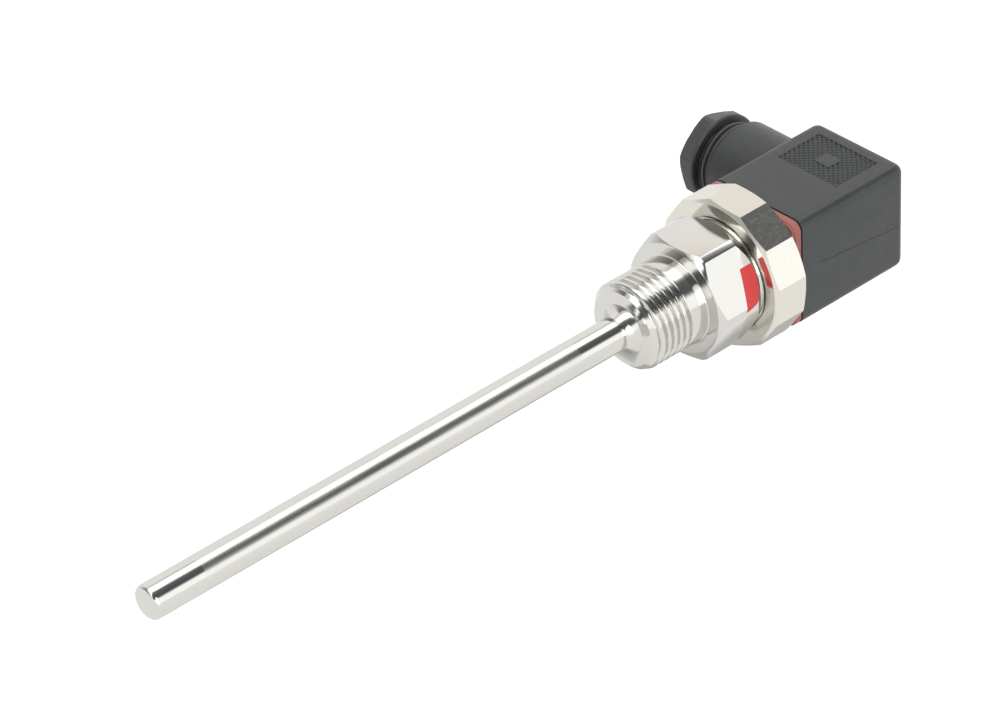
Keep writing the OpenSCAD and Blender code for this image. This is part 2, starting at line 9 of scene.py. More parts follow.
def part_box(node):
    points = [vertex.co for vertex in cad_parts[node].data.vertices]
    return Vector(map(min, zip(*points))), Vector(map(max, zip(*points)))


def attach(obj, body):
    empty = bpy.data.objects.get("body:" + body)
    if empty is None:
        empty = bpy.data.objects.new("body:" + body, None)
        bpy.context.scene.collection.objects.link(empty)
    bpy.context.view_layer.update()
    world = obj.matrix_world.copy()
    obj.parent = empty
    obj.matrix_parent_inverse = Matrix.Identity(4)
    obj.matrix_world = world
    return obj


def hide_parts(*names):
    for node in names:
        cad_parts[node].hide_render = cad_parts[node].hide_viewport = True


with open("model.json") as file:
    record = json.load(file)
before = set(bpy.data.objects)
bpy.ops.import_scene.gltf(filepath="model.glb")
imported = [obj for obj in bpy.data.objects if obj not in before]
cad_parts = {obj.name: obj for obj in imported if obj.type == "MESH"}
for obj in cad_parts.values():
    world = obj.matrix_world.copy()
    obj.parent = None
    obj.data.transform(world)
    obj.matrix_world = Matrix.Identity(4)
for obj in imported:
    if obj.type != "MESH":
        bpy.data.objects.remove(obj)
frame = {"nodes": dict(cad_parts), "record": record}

bl_info = {
    "name": "RTD probe with connector head",
    "version": (1, 0, 0),
    "blender": (4, 5, 0),
    "location": "3D View > Sidebar > RTD Probe",
    "description": "Finishes a resistance thermometer: threads, grip field, marker and materials",
    "category": "Add Mesh",
}

MM = 0.001
# Corners closer than this are one corner
WELD = 2e-7
# Two triangles that bend less than this are one flat face
FLAT_ANGLE = math.radians(0.4)
# An edge that bends more than this is a real edge and gets its small radius
EDGE_ANGLE = math.radians(24)
# The nut's chamfers bend less than that against its faces
NUT_EDGE_ANGLE = math.radians(13)
# A thread's ring reaches this far into what it grows from
LAP = 0.2 * MM
# A noise stays between these levels nearly everywhere
NOISE_LOW = 0.3
NOISE_HIGH = 0.7
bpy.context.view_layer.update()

BODY_OF = {n: b for b, members in frame["record"]["behaviour"]["bodies"].items() for n in members}
SLOT_OF = {s["node"]: s["material_slot"] for s in frame["record"]["subparts"]}


def linear(code):
    """An sRGB colour, written as a hex number, in the linear values that Blender works in."""
    parts = [(code >> shift & 255) / 255 for shift in (16, 8, 0)]
    return [p / 12.92 if p <= 0.04045 else ((p + 0.055) / 1.055) ** 2.4 for p in parts] + [1]


def colour(code, name, description):
    """A colour property with an sRGB default."""
    return bpy.props.FloatVectorProperty(
        name=name, description=description, subtype="COLOR", size=4, min=0, max=1, default=linear(code)
    )


def length(metres, name, description):
    """A length property in metres."""
    return bpy.props.FloatProperty(
        name=name, description=description, subtype="DISTANCE", unit="LENGTH", min=0, default=metres,
        precision=5,
    )


def tilt(degrees, name, description):
    """An angle property, set in degrees."""
    return bpy.props.FloatProperty(
        name=name, description=description, subtype="ANGLE", default=math.radians(degrees)
    )


class ProbeSizes(bpy.types.PropertyGroup):
    """Sizes that the finished pieces add to the frame."""

    thread_radius: length(10.4775 * MM, "Process radius", "Crest radius of the G 1/2 process thread")
    thread_pitch: length(1.814 * MM, "Process pitch", "Pitch of the G 1/2 process thread")
    thread_depth: length(1.05 * MM, "Process depth", "Depth of the G 1/2 process thread")
    thread_front: length(15.8 * MM, "Thread front", "Distance from the collar face to the thread's start")
    thread_lead: length(1.6 * MM, "Thread lead", "Leg of the 45 degree chamfer that starts the thread")
    thread_end: length(4.9 * MM, "Thread end", "Distance from the collar face to the end of the thread")
    shank_radius: length(10.38 * MM, "Shank radius", "Radius of the plain shank behind the thread")
    shank_fillet: length(0.28 * MM, "Shank fillet", "Radius between the shank and the collar face")
    face_radius: length(13.4 * MM, "Face radius", "Outer radius of the flat collar face")
    gland_pitch: length(1.411 * MM, "Gland pitch", "Pitch of the gland screw's thread")
    gland_depth: length(0.8 * MM, "Gland depth", "Depth of the gland screw's thread")
    gland_radius: length(9.1 * MM, "Gland thread radius", "Crest radius of the gland thread")
    gland_threaded: length(7.2 * MM, "Gland thread length", "Threaded length of the gland screw")
    screw_pitch: length(0.5 * MM, "Screw pitch", "Pitch of the fixing screw")
    screw_depth: length(0.27 * MM, "Screw depth", "Depth of the fixing screw's thread")
    screw_threaded: length(12 * MM, "Screw thread length", "Threaded length of the fixing screw")
    screw_radius: length(1.5 * MM, "Screw radius", "Crest radius of the fixing screw")
    screw_lead: length(0.35 * MM, "Screw lead", "Leg of the chamfer that starts the fixing screw")
    tip_polish: length(13 * MM, "Polished tip", "Length of the polished end of the tube")
    weld_polish: length(15 * MM, "Polished root", "Length that is polished again beside the fitting")
    metal_edge: length(0.14 * MM, "Metal edge", "Radius on the turned and milled edges")
    plastic_edge: length(0.22 * MM, "Moulded edge", "Radius on the moulded edges")
    corner_ball: length(2.4 * MM, "Corner radius", "Radius of the ball at each rear corner of the housing")
    field_length: length(13.2 * MM, "Field length", "Length of the grip field along the housing")
    field_width: length(17.8 * MM, "Field width", "Width of the grip field")
    field_depth: length(0.3 * MM, "Field depth", "Depth of the grip field's floor under the housing's top")
    diamond_pitch: length(1.05 * MM, "Diamond pitch", "Spacing of the diamonds in the grip field")
    diamond_height: length(0.26 * MM, "Diamond height", "Height of the diamonds in the grip field")
    parting_width: length(0.14 * MM, "Parting width", "Width of the parting line on the housing")
    parting_depth: length(0.06 * MM, "Parting depth", "Depth of the parting line on the housing")
    nut_old_face: length(15.5 * MM, "Nut face in the frame", "Radius of the nut's front face in the frame")
    nut_face: length(16.85 * MM, "Nut face", "Radius of the nut's finished front face")
    nut_chamfer: tilt(25, "Nut chamfer", "Angle of the front chamfer against the nut's face")
    marker_film: length(0.03 * MM, "Marker film", "Thickness of the red lacquer on the hexagon")


class ProbeColours(bpy.types.PropertyGroup):
    """Colours of the materials."""

    steel: colour(0xD3D2CE, "Steel", "Stainless steel")
    nickel: colour(0xDCD9D1, "Nickel", "Nickel plate")
    brass: colour(0xC9A65C, "Brass", "Free-cutting brass")
    copper: colour(0xC98A62, "Copper", "Drawn copper wire")
    tin: colour(0xC9C8C2, "Tin", "Tin plate")
    zinc: colour(0xB9BDC0, "Zinc", "Passivated zinc plate")
    ceramic: colour(0xE4DDCB, "Ceramic", "Unglazed alumina")
    epoxy: colour(0x3A352E, "Epoxy", "Cast epoxy resin")
    rubber: colour(0x202021, "Rubber", "Nitrile rubber")
    silicone: colour(0xA0605A, "Silicone", "Brick red silicone")
    housing: colour(0x37393B, "Housing", "Dark grey polyamide")
    gland: colour(0x434346, "Gland", "Mid grey polyamide")
    black: colour(0x232425, "Black", "Black polyamide")
    marker: colour(0xD4302E, "Marker", "Red lacquer")


class ProbeStage(bpy.types.PropertyGroup):
    """The camera and the floor."""

    azimuth: tilt(-41.734, "Azimuth", "Turn of the camera round Z")
    elevation: tilt(34.771, "Elevation", "Height of the camera as an angle")
    roll: tilt(-2.668, "Roll", "Turn of the camera about its own axis")
    distance: length(1.086, "Distance", "Distance from the camera to the sealing face")
    side_step: length(0.03797, "Side step", "How far the camera stands to the left of the sealing face")
    down_step: length(0.01179, "Down step", "How far the camera stands below the line to the sealing face")
    lens: bpy.props.FloatProperty(
        name="Lens", description="Focal length", subtype="DISTANCE_CAMERA", default=180
    )
    floor_drop: length(0.12, "Floor drop", "Distance from the probe's axis down to the floor")
    floor_size: length(6.0, "Floor size", "Width of the floor")


# ---------------------------------------------------------------- meshes


def add(tree, kind, settings=None, links=None):
    """Adds one node. Settings are its own fields or its inputs' values, and links feed its inputs."""
    node = tree.nodes.new(kind)
    for key, value in (settings or {}).items():
        if isinstance(key, str) and hasattr(node, key):
            setattr(node, key, value)
        else:
            node.inputs[key].default_value = value
    for key, output in (links or {}).items():
        tree.links.new(output, node.inputs[key])
    return node


def meshed(shape, name):
    """A working shape as a mesh with this name. The shape itself is freed."""
    mesh = bpy.data.meshes.new(name)
    shape.to_mesh(mesh)
    shape.free()
    return mesh


def joined(node):
    """A CAD node's loose triangles as one closed surface, with each flat area joined to one face."""
    shape = bmesh.new()
    shape.from_mesh(frame["nodes"][node].data)
    bmesh.ops.remove_doubles(shape, verts=shape.verts, dist=WELD)
    bmesh.ops.dissolve_limit(shape, angle_limit=FLAT_ANGLE, verts=shape.verts, edges=shape.edges)
    return meshed(shape, node)


def reshaped(mesh, rule):
    """Moves each corner of a turned mesh to the x and radius that a rule gives for its own."""
    for vert in mesh.vertices:
        reach = math.hypot(vert.co.y, vert.co.z)
        if reach > WELD:
            x, wider = rule(vert.co.x, reach)
            vert.co = (x, vert.co.y * wider / reach, vert.co.z * wider / reach)
    return mesh


def plain(mesh, angle=EDGE_ANGLE):
    """Drops what the import left on a mesh and shades it smooth up to its real edges."""
    for name in ("custom_normal", "sharp_edge", "sharp_face"):
        if name in mesh.attributes:
            mesh.attributes.remove(mesh.attributes[name])
    mesh.shade_smooth()
    mesh.set_sharp_from_angle(angle=angle)
    return mesh


def shown(name, data):
    """An object at the origin with this mesh, lamp or camera."""
    thing = bpy.data.objects.new(name, data)
    bpy.context.scene.collection.objects.link(thing)
    return thing


def settled(thing):
    """The object with its modifiers worked into its mesh and then removed."""
    bpy.context.view_layer.update()
    graph = bpy.context.evaluated_depsgraph_get()
    mesh = bpy.data.meshes.new_from_object(thing.evaluated_get(graph))
    thing.modifiers.clear()
    thing.data = mesh
    return thing


def combined(mesh, other, operation):
    """One mesh cut from, or joined to, another."""
    first = shown("first", mesh)
    second = shown("second", other)
    step = first.modifiers.new("combine", "BOOLEAN")
    step.operation = operation
    step.object = second
    step.solver = "MANIFOLD"
    settled(first)
    result = first.data
    for thing in (first, second):
        bpy.data.objects.remove(thing)
    if not result.polygons:
        raise RuntimeError(f"the {operation.lower()} of {mesh.name} left nothing")
    return result


def rounded(mesh, radius, angle=EDGE_ANGLE):
    """The mesh with a small radius on each real edge."""
    thing = shown("rounded", mesh)
    edge = thing.modifiers.new("edge", "BEVEL")
    edge.width = radius
    edge.segments = 2
    edge.limit_method = "ANGLE"
    edge.angle_limit = angle
    edge.use_clamp_overlap = True
    edge.harden_normals = True
    mesh.shade_smooth()
    settled(thing)
    result = thing.data
    bpy.data.objects.remove(thing)
    return result


def revolved(profile):
    """A closed turned shape about the X axis from an outline of (x, radius) corners."""
    steps = 128
    shape = bmesh.new()
    rings = []
    for turn in range(steps):
        angle = 2 * math.pi * turn / steps
        rings.append([shape.verts.new((x, -r * math.sin(angle), r * math.cos(angle))) for x, r in profile])
    for turn in range(steps):
        here, there = rings[turn], rings[(turn + 1) % steps]
        for i in range(len(profile)):
            j = (i + 1) % len(profile)
            shape.faces.new((here[i], there[i], there[j], here[j]))
    # Corners on the axis meet in one point
    bmesh.ops.remove_doubles(shape, verts=shape.verts, dist=WELD)
    bmesh.ops.recalc_face_normals(shape, faces=shape.faces)
    return meshed(shape, "revolved")


def block(low, high):
    """A closed box between two corners, for cutting with."""
    shape = bmesh.new()
    bmesh.ops.create_cube(shape, size=1)
    middle = (Vector(low) + Vector(high)) / 2
    spread = Vector(high) - Vector(low)
    bmesh.ops.scale(shape, verts=shape.verts, vec=spread)
    bmesh.ops.translate(shape, verts=shape.verts, vec=middle)
    return meshed(shape, "block")


def carried_down(sheet, low):
    """A sheet made solid: its rim is carried down to a flat floor at this height."""
    shape = bmesh.new()
    shape.from_mesh(sheet)
    rim = [edge for edge in shape.edges if edge.is_boundary]
    wall = bmesh.ops.extrude_edge_only(shape, edges=rim)["geom"]
    for vert in wall:
        if isinstance(vert, bmesh.types.BMVert):
            vert.co.z = low
    base = [edge for edge in shape.edges if edge.is_boundary]
    bmesh.ops.contextual_create(shape, geom=base)
    bmesh.ops.recalc_face_normals(shape, faces=shape.faces)
    return meshed(shape, sheet.name)


def ball_cornered(mesh, corner, radius):
    """Turns each rear corner of a housing, where three rounded edges meet, into part of a ball."""
    shape = bmesh.new()
    shape.from_mesh(mesh)
    inner = corner - Vector((radius, radius, radius))
    cuts = [((inner.x, 0, 0), (1, 0, 0))]
    for side in (-1, 1):
        cuts.append(((0, side * inner.y, 0), (0, 1, 0)))
        cuts.append(((0, 0, side * inner.z), (0, 0, 1)))
    for point, normal in cuts:
        everything = [*shape.verts, *shape.edges, *shape.faces]
        bmesh.ops.bisect_plane(shape, geom=everything, plane_co=point, plane_no=normal, dist=WELD)

    def in_corner(vert):
        place = vert.co
        return (
            place.x > inner.x - WELD and abs(place.y) > inner.y - WELD and abs(place.z) > inner.z - WELD
        )

    near = [edge for edge in shape.edges if all(in_corner(vert) for vert in edge.verts)]
    bmesh.ops.subdivide_edges(shape, edges=near, cuts=3, use_grid_fill=True)
    for vert in shape.verts:
        if in_corner(vert):
            centre = Vector((inner.x, math.copysign(inner.y, vert.co.y), math.copysign(inner.z, vert.co.z)))
            arm = vert.co - centre
            if arm.length > radius:
                vert.co = centre + arm * radius / arm.length
    return meshed(shape, mesh.name)


def threaded(node, mesh, place, thread, edge):
    """Finishes a CAD node with a real thread. place lays the X axis along it, from its start.

    thread has its crest radius, depth, pitch and reach, the chamfer's leg at its lead and at its end,
    how far its ring reaches under its root, and its sides round each turn and its rows along it.
    """
    radius, reach = thread["radius"], thread["reach"] + LAP
    # The cutters stand out past the thread by this much
    clear = MM
    rod = grown(
        thread_tree(),
        {"Radius": radius, "Depth": thread["depth"], "Pitch": thread["pitch"], "Length": reach,
         "Start chamfer": thread["lead"], "End chamfer": thread["end"] + LAP, "Sides": thread["sides"],
         "Rows": math.ceil(reach / thread["pitch"] * thread["rows"]),
         "Material": slot_material(SLOT_OF[node])},
    )
    # The rod grows along +Z about its own middle
    rod.transform(Matrix.Translation((reach / 2, 0, 0)) @ Matrix.Rotation(math.pi / 2, 4, "Y"))
    inner = radius - max(thread["lead"], thread["depth"]) - thread["under"]
    core = inner - min(LAP, thread["under"])
    far = thread["reach"]
    bar = revolved([(-clear, 0), (-clear, core), (far + clear, core), (far + clear, 0)])
    sleeve = revolved([(-clear, inner), (-clear, radius + clear), (far, radius + clear), (far, inner)])
    ring = combined(rod, bar, "DIFFERENCE")
    for part in (ring, sleeve):
        part.transform(place)
    body = rounded(plain(combined(mesh, sleeve, "DIFFERENCE")), edge)
    return finished(node, plain(combined(body, plain(ring), "UNION")))


def piece(name, mesh, material, node, stands_for=()):
    """Shows a finished mesh with its material, riding where its CAD node does."""
    mesh.materials.clear()
    mesh.materials.append(material)
    thing = shown(name, mesh)
    mesh.name = name
    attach(thing, BODY_OF[node])
    if stands_for:
        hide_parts(*stands_for)
    return thing


def finished(node, mesh):
    """Shows a CAD node's finished mesh in its place, with the material of its slot."""
    return piece(f"{node}_finished", mesh, slot_material(SLOT_OF[node]), node, [node])


def dressed(node, edge=0):
    """A CAD node finished as it is: one surface, small radii on its edges, and its material."""
    mesh = plain(joined(node))
    if edge:
        mesh = rounded(mesh, edge)
    return finished(node, mesh)


# ---------------------------------------------------------------- geometry nodes


def node_tree(name, inputs):
    """An empty Geometry Nodes tree with one geometry output, and its inputs' names by their kind."""
    tree = bpy.data.node_groups.new(name, "GeometryNodeTree")
    for kind, labels in inputs.items():
        for label in labels:
            tree.interface.new_socket(label, in_out="INPUT", socket_type=f"NodeSocket{kind}")
    tree.interface.new_socket("Geometry", in_out="OUTPUT", socket_type="NodeSocketGeometry")
    return tree


def ended(tree, geometry, material):
    """The tree with its last steps: the geometry is made real, takes its material, and goes out."""
    real = add(tree, "GeometryNodeRealizeInstances", links={0: geometry})
    finish = add(tree, "GeometryNodeSetMaterial", links={0: real.outputs[0], "Material": material})
    add(tree, "NodeGroupOutput", links={0: finish.outputs[0]})
    return tree


def grown(tree, values):
    """The plain mesh that a Geometry Nodes tree makes from these values of its named inputs."""
    thing = shown(tree.name, bpy.data.meshes.new(tree.name))
    step = thing.modifiers.new(tree.name, "NODES")
    step.node_group = tree
    for socket in tree.interface.items_tree:
        if socket.in_out == "INPUT" and socket.name in values:
            step[socket.identifier] = values[socket.name]
    settled(thing)
    mesh = thing.data
    bpy.data.objects.remove(thing)
    if not mesh.polygons:
        raise RuntimeError(f"{tree.name} made no faces")
    return mesh


def thread_tree():
    """A threaded rod along +Z: a fine cylinder whose radius follows a helix, chamfered at both ends."""
    tree = node_tree(
        "threaded_rod",
        {
            "Float": ("Radius", "Depth", "Pitch", "Length", "Start chamfer", "End chamfer"),
            "Int": ("Sides", "Rows"),
            "Material": ("Material",),
        },
    )
    given = add(tree, "NodeGroupInput").outputs
    rod = add(
        tree,
        "GeometryNodeMeshCylinder",
        {"fill_type": "NGON"},
        {"Vertices": given["Sides"], "Side Segments": given["Rows"], "Radius": given["Radius"],
         "Depth": given["Length"]},
    )
    position = add(tree, "GeometryNodeInputPosition").outputs[0]
    where = add(tree, "ShaderNodeSeparateXYZ", links={0: position})
    tooth = add(tree, "ShaderNodeFloatCurve")
    flank = tooth.mapping.curves[0]
    flank.points[0].location = (0, 1)
    flank.points[1].location = (1, 1)
    # Share of the pitch, and share of the depth cut away there: a rounded root and a flat crest
    for at, gone in ((0.05, 0.97), (0.29, 0.06), (0.35, 0), (0.65, 0), (0.71, 0.06), (0.95, 0.97)):
        flank.points.new(at, gone)
    tooth.mapping.update()
    known = {socket.name: socket for socket in (*given, *where.outputs) if socket.name}
    known["tooth"] = tooth.outputs[0]
    # Each step names its result, its operation, and the earlier results or numbers that it takes
    for name, operation, *terms in (
        ("half", "MULTIPLY", "Length", 0.5),
        ("along", "ADD", "Z", "half"),
        ("left", "SUBTRACT", "Length", "along"),
        ("angle", "ARCTAN2", "Y", "X"),
        ("turn", "DIVIDE", "angle", 2 * math.pi),
        ("pitches", "DIVIDE", "along", "Pitch"),
        ("helix", "SUBTRACT", "pitches", "turn"),
        ("phase", "FRACT", "helix"),
        ("cut", "MULTIPLY", "tooth", "Depth"),
        ("ridge", "SUBTRACT", "Radius", "cut"),
        ("start", "SUBTRACT", "Radius", "Start chamfer"),
        ("end", "SUBTRACT", "Radius", "End chamfer"),
        ("lead", "ADD", "start", "along"),
        ("tail", "ADD", "end", "left"),
        ("front", "MINIMUM", "ridge", "lead"),
        ("both", "MINIMUM", "front", "tail"),
        ("share", "DIVIDE", "both", "Radius"),
    ):
        links = {i: known[term] for i, term in enumerate(terms) if term in known}
        numbers = {i: term for i, term in enumerate(terms) if term not in known}
        step = add(tree, "ShaderNodeMath", {"operation": operation, **numbers}, links)
        known[name] = step.outputs[0]
    tree.links.new(known["phase"], tooth.inputs["Value"])
    scale = add(tree, "ShaderNodeCombineXYZ", {"Z": 1.0}, {"X": known["share"], "Y": known["share"]})
    place = add(
        tree, "ShaderNodeVectorMath", {"operation": "MULTIPLY"}, {0: position, 1: scale.outputs[0]}
    )
    moved = add(tree, "GeometryNodeSetPosition", links={0: rod.outputs[0], "Position": place.outputs[0]})
    return ended(tree, moved.outputs[0], given["Material"])


def diamond_tree():
    """A flat field of diamonds: a fine grid, turned by 45 degrees and raised to a pyramid on each cell."""
    tree = node_tree(
        "diamond_field",
        {"Float": ("Size", "Pitch", "Height"), "Int": ("Points",), "Material": ("Material",)},
    )
    given = add(tree, "NodeGroupInput").outputs
    grid = add(
        tree,
        "GeometryNodeMeshGrid",
        links={"Size X": given["Size"], "Size Y": given["Size"], "Vertices X": given["Points"],
               "Vertices Y": given["Points"]},
    )
    position = add(tree, "GeometryNodeInputPosition").outputs[0]
    where = add(tree, "ShaderNodeSeparateXYZ", links={0: position})
    half = add(tree, "ShaderNodeMath", {"operation": "MULTIPLY", 1: 0.5}, {0: given["Pitch"]})
    slopes = []
    for axis in "XY":
        fold = add(
            tree, "ShaderNodeMath", {"operation": "PINGPONG"}, {0: where.outputs[axis], 1: half.outputs[0]}
        )
        slopes.append(fold.outputs[0])
    lower = add(tree, "ShaderNodeMath", {"operation": "MINIMUM"}, {0: slopes[0], 1: slopes[1]})
    share = add(tree, "ShaderNodeMath", {"operation": "DIVIDE"}, {0: lower.outputs[0], 1: half.outputs[0]})
    # The mould leaves each diamond with a small flat on top, from this share of the full pyramid
    flat_from = 0.62
    rise = add(
        tree,
        "ShaderNodeMapRange",
        {"From Min": 0.0, "From Max": flat_from, "To Min": 0.0},
        {"Value": share.outputs[0], "To Max": given["Height"]},
    )
    up = add(tree, "ShaderNodeCombineXYZ", links={"Z": rise.outputs[0]})
    moved = add(tree, "GeometryNodeSetPosition", links={0: grid.outputs["Mesh"], "Offset": up.outputs[0]})
    split = add(tree, "GeometryNodeTriangulate", {"quad_method": "LONGEST_DIAGONAL"}, {0: moved.outputs[0]})
    turned = add(tree, "GeometryNodeTransform", {"Rotation": (0, 0, math.pi / 4)}, {0: split.outputs[0]})
    return ended(tree, turned.outputs[0], given["Material"])


# ---------------------------------------------------------------- materials


def blank(name, base, settings):
    """A new material with these values on its shader, and its object coordinates."""
    material = bpy.data.materials.new(name)
    material.use_nodes = True
    tree = material.node_tree
    shader = tree.nodes["Principled BSDF"]
    shader.inputs["Base Color"].default_value = base
    for key, value in settings.items():
        shader.inputs[key].default_value = value
    place = add(tree, "ShaderNodeTexCoord").outputs["Object"]
    return material, tree, shader, place


def grain(tree, shader, place, per_metre, depth, gloss):
    """Relief and roughness from one noise.

    per_metre is its fineness along each axis, depth the relief's height in metres, and gloss the least
    and the greatest roughness.
    """
    scaled = add(tree, "ShaderNodeMapping", {"Scale": per_metre}, {"Vector": place})
    noise = add(tree, "ShaderNodeTexNoise", {"Scale": 1.0, "Detail": 3.0}, {"Vector": scaled.outputs[0]})
    rough = add(
        tree,
        "ShaderNodeMapRange",
        {"From Min": NOISE_LOW, "From Max": NOISE_HIGH, "To Min": gloss[0], "To Max": gloss[1]},
        {"Value": noise.outputs[0]},
    )
    relief = add(tree, "ShaderNodeBump", {"Distance": depth}, {"Height": noise.outputs[0]})
    tree.links.new(rough.outputs[0], shader.inputs["Roughness"])
    tree.links.new(relief.outputs[0], shader.inputs["Normal"])
    return rough.outputs[0]


def mottle(tree, shader, place, size, base, spread):
    """Lets the base colour wander a little, over patches of this size."""
    noise = add(tree, "ShaderNodeTexNoise", {"Scale": 1 / size, "Detail": 4.0}, {"Vector": place})
    ramp = add(tree, "ShaderNodeValToRGB", links={0: noise.outputs[0]})
    low, high = ramp.color_ramp.elements
    low.position = NOISE_LOW
    high.position = NOISE_HIGH
    low.color = [c * (1 - spread) for c in base[:3]] + [1]
    high.color = [min(1, c * (1 + spread)) for c in base[:3]] + [1]
    tree.links.new(ramp.outputs[0], shader.inputs["Base Color"])


def satin_tube(colours, sizes):
    """Drawn stainless tube with a satin grind along it, and mirror-bright at its tip and its root."""
    material, tree, shader, place = blank("ground_stainless_tube", colours.steel, {"Metallic": 1.0})
    # Grinding lines 0.5 mm apart round the tube and 20 mm long, drawn coarse enough to show
    rough = grain(tree, shader, place, (50, 2000, 2000), 2.5e-6, (0.2, 0.3))
    split = add(tree, "ShaderNodeSeparateXYZ", links={0: place})
    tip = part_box("protection_tube")[0].x + sizes.tip_polish
    root = -sizes.thread_front - sizes.weld_polish
    # The polished ends keep this share of the grind's roughness, and meet it over half a millimetre
    kept, blend = 0.25, 0.5 * MM
    polish = []
    for edge, far in ((tip, tip + blend), (root, root - blend)):
        step = add(
            tree, "ShaderNodeMapRange", {"From Min": edge, "From Max": far, "To Min": kept, "To Max": 1.0},
            {"Value": split.outputs["X"]},
        )
        polish.append(step.outputs[0])
    both = add(tree, "ShaderNodeMath", {"operation": "MINIMUM"}, {0: polish[0], 1: polish[1]})
    shine = add(tree, "ShaderNodeMath", {"operation": "MULTIPLY"}, {0: rough, 1: both.outputs[0]})
    tree.links.new(shine.outputs[0], shader.inputs["Roughness"])
    return material


def turned_steel(colours):
    """Turned stainless steel: bright, with fine rings where the tool ran."""
    material, tree, shader, place = blank("turned_stainless", colours.steel, {"Metallic": 1.0})
    # The noise runs along the X axis and out from it, so that it becomes rings
    split = add(tree, "ShaderNodeSeparateXYZ", links={0: place}).outputs
    across = add(tree, "ShaderNodeCombineXYZ", links={"X": split["Y"], "Y": split["Z"]})
    radius = add(tree, "ShaderNodeVectorMath", {"operation": "LENGTH"}, {0: across.outputs[0]})
    rings = add(tree, "ShaderNodeCombineXYZ", links={"X": split["X"], "Y": radius.outputs["Value"]})
    # Tool marks 0.38 mm apart along the axis and 0.15 mm apart on the faces, coarse enough to show
    grain(tree, shader, rings.outputs[0], (2600, 6500, 1), 0.35e-6, (0.08, 0.15))
    return material


def simple_metal(name, base, per_metre, gloss, depth=0.5e-6):
    """Any other metal piece: its colour with a grain of this fineness, gloss and depth."""
    material, tree, shader, place = blank(name, base, {"Metallic": 1.0})
    grain(tree, shader, place, per_metre, depth, gloss)
    return material


def moulded(name, base, size, depth, gloss, spread=0.05):
    """Any moulded or cast piece: grain of this size and depth, and a slightly uneven colour."""
    material, tree, shader, place = blank(name, base, {"IOR": 1.5})
    fine = 1 / size
    patch = 12 * size
    grain(tree, shader, place, (fine, fine, fine), depth, gloss)
    mottle(tree, shader, place, patch, base, spread)
    return material


def make_materials():
    """Every material by its slot, made once."""
    colours = bpy.context.scene.probe_colours
    sizes = bpy.context.scene.probe_sizes
    return {
        "stainless_satin": satin_tube(colours, sizes),
        "stainless_turned": turned_steel(colours),
        # Bright nickel on milled brass: slightly warm, with marks of the drawn bar 0.5 mm wide under it
        "nickel_plated_brass": simple_metal(
            "bright_nickel_plate", colours.nickel, (900, 2000, 2000), (0.1, 0.22), 1.9e-6
        ),
        # Free-cutting brass bar, turned
        "brass": simple_metal("turned_brass", colours.brass, (2500, 900, 900), (0.22, 0.34)),
        # Drawn copper wire, dull with handling
        "copper_wire": simple_metal("drawn_copper", colours.copper, (300, 3000, 3000), (0.3, 0.42)),
        # Tin plate over stamped brass: soft and greyish
        "tinned_contact": simple_metal("tin_plate", colours.tin, (900, 2200, 2200), (0.24, 0.36)),
        # Zinc plate with a blue passivation
        "zinc_plated_steel": simple_metal("zinc_plate", colours.zinc, (1800, 1800, 1800), (0.28, 0.4)),
        # Unglazed alumina: chalky and off-white
        "ceramic": moulded("alumina_ceramic", colours.ceramic, 0.2 * MM, 6e-6, (0.6, 0.72)),
        # Cast epoxy: dark amber with a wet surface
        "epoxy": moulded("cast_epoxy", colours.epoxy, 0.8 * MM, 4e-6, (0.25, 0.35)),
        # Nitrile rubber: dull black
        "black_rubber": moulded("nitrile_rubber", colours.rubber, 0.25 * MM, 5e-6, (0.55, 0.7)),
        # Silicone rubber: brick red, soft sheen
        "red_silicone": moulded("silicone_rubber", colours.silicone, 0.3 * MM, 4e-6, (0.5, 0.62)),
        # Glass-filled polyamide from a spark-eroded mould: fine even grain, a little uneven in colour
        "grey_polyamide": moulded("grained_polyamide", colours.housing, 0.3 * MM, 5e-5, (0.33, 0.47), 0.12),
        # Lacquer on nickel: a thin even film with a soft gloss
        "marker": moulded("red_lacquer", colours.marker, 0.5 * MM, 2e-6, (0.28, 0.36), 0.03),
        # Polyamide from a polished mould: smoother and a little lighter
        "gland_polyamide": moulded("smooth_polyamide", colours.gland, 0.34 * MM, 4e-5, (0.34, 0.48), 0.1),
        # Black polyamide for the insulating parts
        "black_polyamide": moulded("black_polyamide", colours.black, 0.3 * MM, 5e-6, (0.4, 0.52)),
    }


MATERIALS = {}


def slot_material(slot):
    """The material for a slot, or for a finish that has no slot."""
    if not MATERIALS:
        MATERIALS.update(make_materials())
    return MATERIALS[slot]


# ---------------------------------------------------------------- pieces


class PROBE_OT_tube(bpy.types.Operator):
    """Finish the protection tube with its polished tip"""

    bl_idname = "probe.tube"
    bl_label = "Protection tube"

    def execute(self, context):
        dressed("protection_tube")
        return {"FINISHED"}


